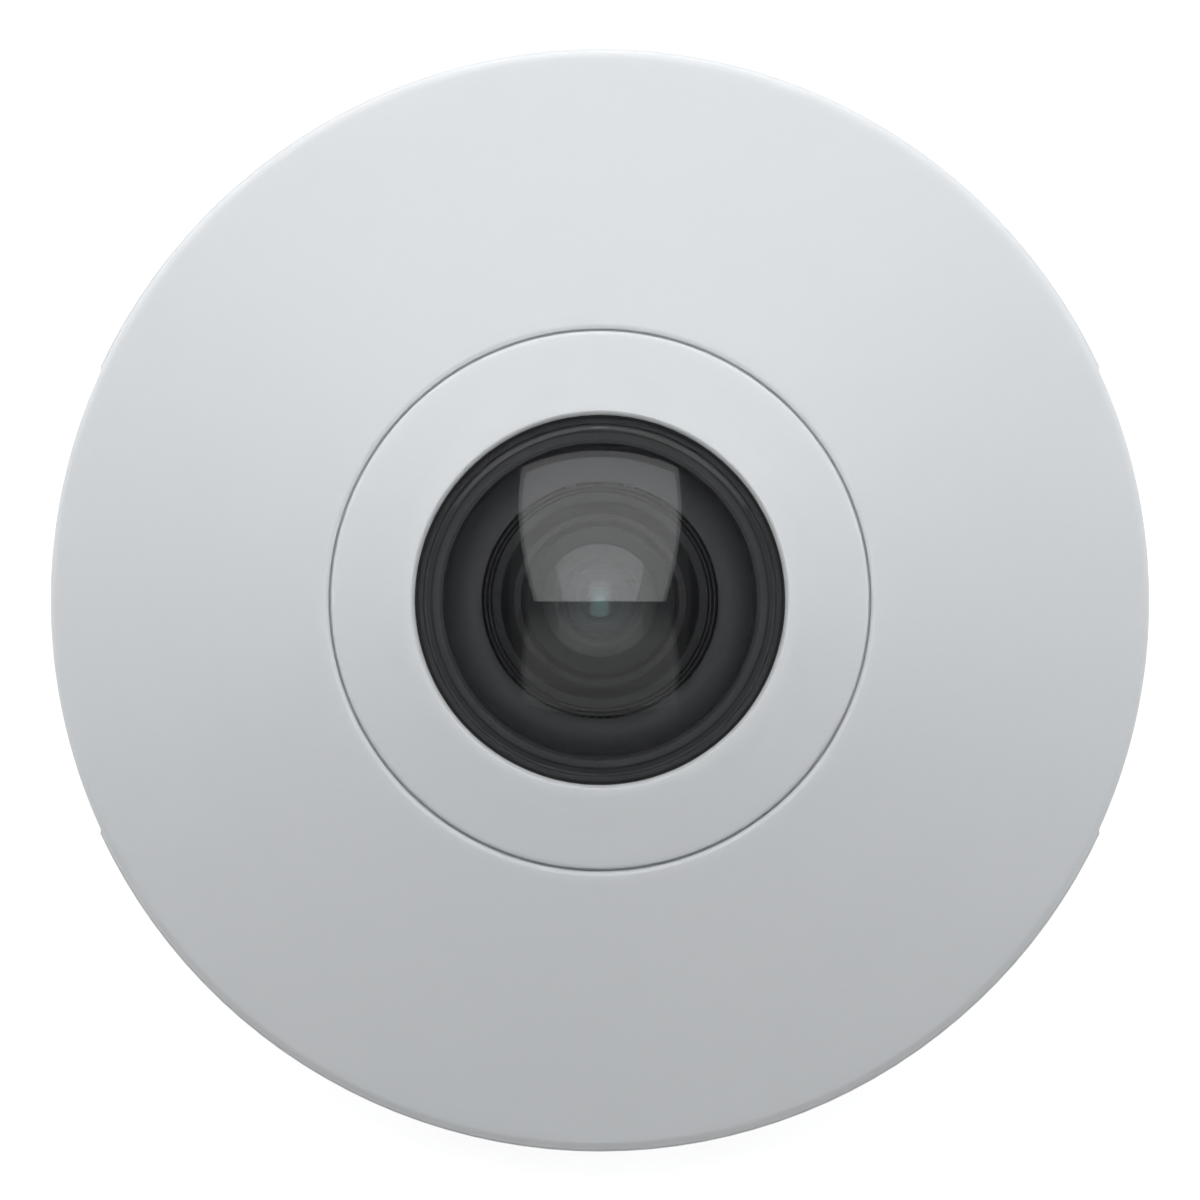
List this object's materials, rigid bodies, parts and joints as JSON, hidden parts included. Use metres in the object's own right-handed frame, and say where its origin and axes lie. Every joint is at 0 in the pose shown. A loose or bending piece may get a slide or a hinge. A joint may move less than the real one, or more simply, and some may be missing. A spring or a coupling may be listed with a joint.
{
  "type": "fisheye ip camera",
  "caption": "Round ceiling camera with a shallow conical white cover, a clear dome over a fisheye lens, a twist-on ceiling bracket, circuit boards, a network socket and a filter changer inside.",
  "frame": {"origin": "centre of the ceiling face of the mounting bracket", "axes": "+Z out of the ceiling along the lens's axis, +X to the right and +Y up as the camera is seen from the front"},
  "size_m": [0.1286, 0.13, 0.0446],
  "materials": {
    "white_cover_plastic": "satin moulded polycarbonate",
    "painted_casting": "satin white powder coat",
    "zinc_plated_steel": "bright zinc plating",
    "plated_screws": "nickel plating",
    "tinned_steel": "tin plating",
    "black_rubber": "matt moulded rubber",
    "dark_housing_plastic": "fine moulded texture",
    "black_plastic": "matt moulded",
    "grey_plastic": "matt moulded",
    "card_plastic": "fine moulded texture",
    "ivory_plastic": "matt moulded",
    "circuit_board": "solder mask over glass fibre",
    "chip_resin": "matt moulded resin",
    "thermal_silicone": "matt silicone",
    "ferrite_and_tape": "matt ferrite",
    "capacitor_can": "drawn can",
    "gold_plated_wire": "gold plating",
    "spacer_brass": "turned brass",
    "coil_copper": "enamelled copper wire",
    "rotor_magnet": "sintered magnet",
    "flex_film": "polyimide film",
    "light_lens": "clear moulded",
    "clear_dome": "clear polished polycarbonate",
    "optical_glass": "coated optical glass",
    "black_anodised": "black anodised"
  },
  "bodies": {
    "bracket": {"mounting_bracket": "zinc_plated_steel"},
    "camera": {"base_housing": "painted_casting", "cable_grommet": "black_rubber", "chassis_screws": "plated_screws", "inner_housing": "dark_housing_plastic", "main_board": "circuit_board", "board_screws": "plated_screws", "network_socket": "tinned_steel", "socket_insert": "black_plastic", "socket_contacts": "gold_plated_wire", "card_socket": "tinned_steel", "processor": "chip_resin", "memory_chips": "chip_resin", "thermal_pad": "thermal_silicone", "transformer": "ferrite_and_tape", "inductors": "ferrite_and_tape", "capacitors": "capacitor_can", "button_switch": "black_plastic", "status_light": "light_lens", "light_pipe": "light_lens", "board_spacers": "spacer_brass", "sensor_board": "circuit_board", "sensor_screws": "plated_screws", "image_sensor": "chip_resin", "sensor_glass": "optical_glass", "flex_connectors": "ivory_plastic", "flex_cable": "flex_film", "lens_holder": "black_plastic", "holder_screws": "plated_screws", "magnet_yoke": "zinc_plated_steel", "coil": "coil_copper", "lens_lock_ring": "black_anodised", "lens_barrel": "black_anodised", "front_lens_ring": "black_anodised", "front_element": "optical_glass", "second_element": "optical_glass", "lens_spacer": "black_anodised", "middle_element": "optical_glass", "aperture_stop": "black_anodised", "rear_element": "optical_glass", "rear_lens_ring": "black_anodised", "lens_shroud": "black_plastic", "dome_seal": "black_rubber", "dome_window": "clear_dome", "centre_bezel": "white_cover_plastic", "bezel_screws": "plated_screws"},
    "cover": {"top_cover": "white_cover_plastic"},
    "card": {"memory_card": "card_plastic"},
    "button": {"control_button": "grey_plastic"},
    "rotor": {"filter_rotor": "rotor_magnet"},
    "carriage": {"filter_carriage": "black_plastic", "infrared_filter": "optical_glass", "clear_filter": "optical_glass"}
  },
  "joints": [
    {"name": "bracket_twist", "type": "hinge", "parent": "bracket", "child": "camera", "pos_m": [0, 0, 0], "axis": [0, 0, 1], "range_deg": [0, 24]},
    {"name": "cover_lift", "type": "slide", "parent": "camera", "child": "cover", "axis": [0, 0, 1], "range_m": [0, 0.03]},
    {"name": "card_slide", "type": "slide", "parent": "camera", "child": "card", "axis": [-1, 0, 0], "range_m": [0, 0.012]},
    {"name": "button_press", "type": "slide", "parent": "camera", "child": "button", "axis": [0, 0, -1], "range_m": [0, 0.0008], "stiffness_N_per_m": 300},
    {"name": "rotor_swing", "type": "hinge", "parent": "camera", "child": "rotor", "pos_m": [0, 0.0142, 0.0175], "axis": [0, 0, -1], "range_deg": [0, 70.1]},
    {"name": "filter_slide", "type": "slide", "parent": "camera", "child": "carriage", "axis": [-1, 0, 0], "range_m": [0, 0.0078]}
  ],
  "couplings": [
    {"joint": "rotor_swing", "follows": "filter_slide", "rad_per_m": 156.63}
  ]
}
